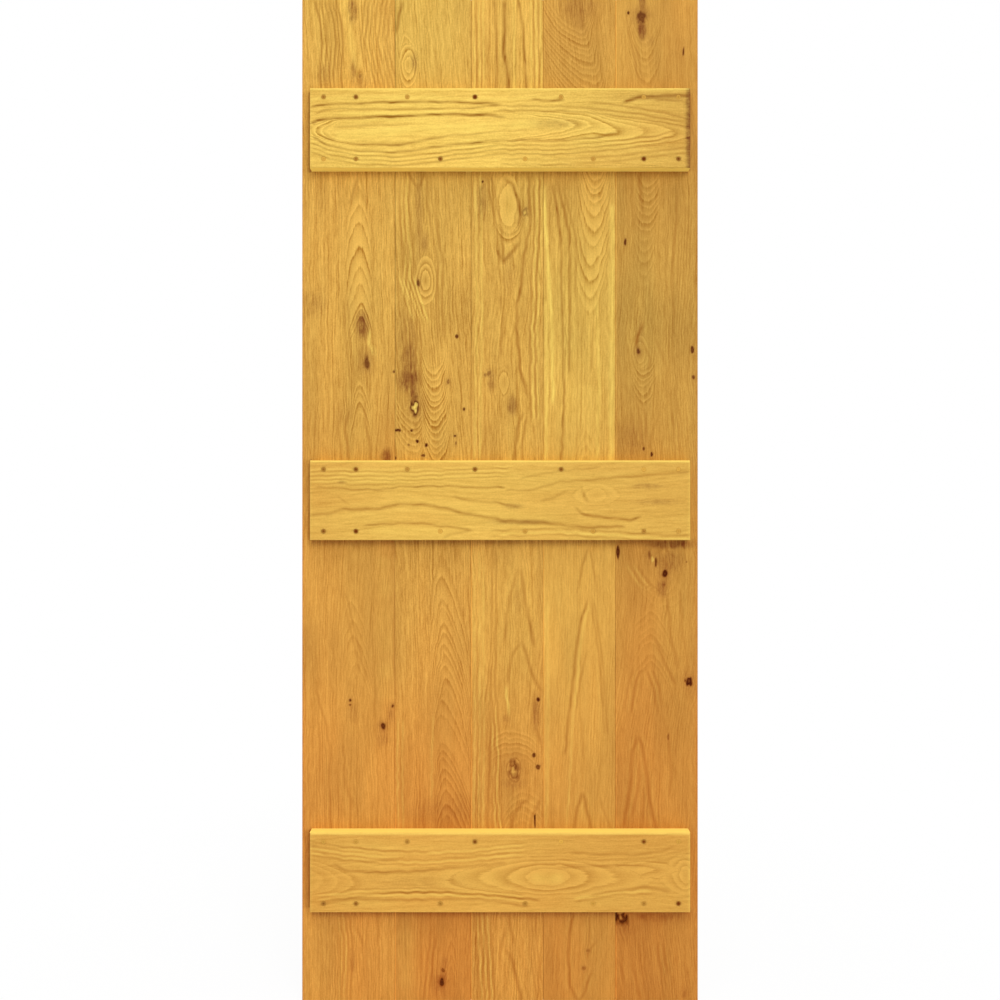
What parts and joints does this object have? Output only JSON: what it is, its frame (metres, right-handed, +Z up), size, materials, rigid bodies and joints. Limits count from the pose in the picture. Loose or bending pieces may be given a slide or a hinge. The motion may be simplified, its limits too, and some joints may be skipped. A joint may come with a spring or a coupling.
{
  "type": "ledged barn door",
  "caption": "Upright plank door leaf: tongued oak boards side by side, held by flat cross ledges that are screwed and plugged on the back; it hangs in a doorway.",
  "frame": {"origin": "under the middle of the leaf, halfway through its whole thickness, at the bottom edge", "axes": "+Z up the leaf, +X to the right as seen from the ledged side, -Y out of the ledged side"},
  "size_m": [0.8026, 0.044, 2.032],
  "materials": {
    "oak_board": "oiled oak, satin",
    "oak_ledge": "oiled oak, satin",
    "oak_plug": "oiled oak end grain",
    "screw_steel": "plated steel"
  },
  "bodies": {
    "root": {"left_edge_board": "oak_board", "second_board": "oak_board", "middle_board": "oak_board", "fourth_board": "oak_board", "right_edge_board": "oak_board", "top_ledge": "oak_ledge", "middle_ledge": "oak_ledge", "bottom_ledge": "oak_ledge", "top_ledge_plugs": "oak_plug", "middle_ledge_plugs": "oak_plug", "bottom_ledge_plugs": "oak_plug", "top_ledge_screws": "screw_steel", "middle_ledge_screws": "screw_steel", "bottom_ledge_screws": "screw_steel"}
  },
  "joints": []
}
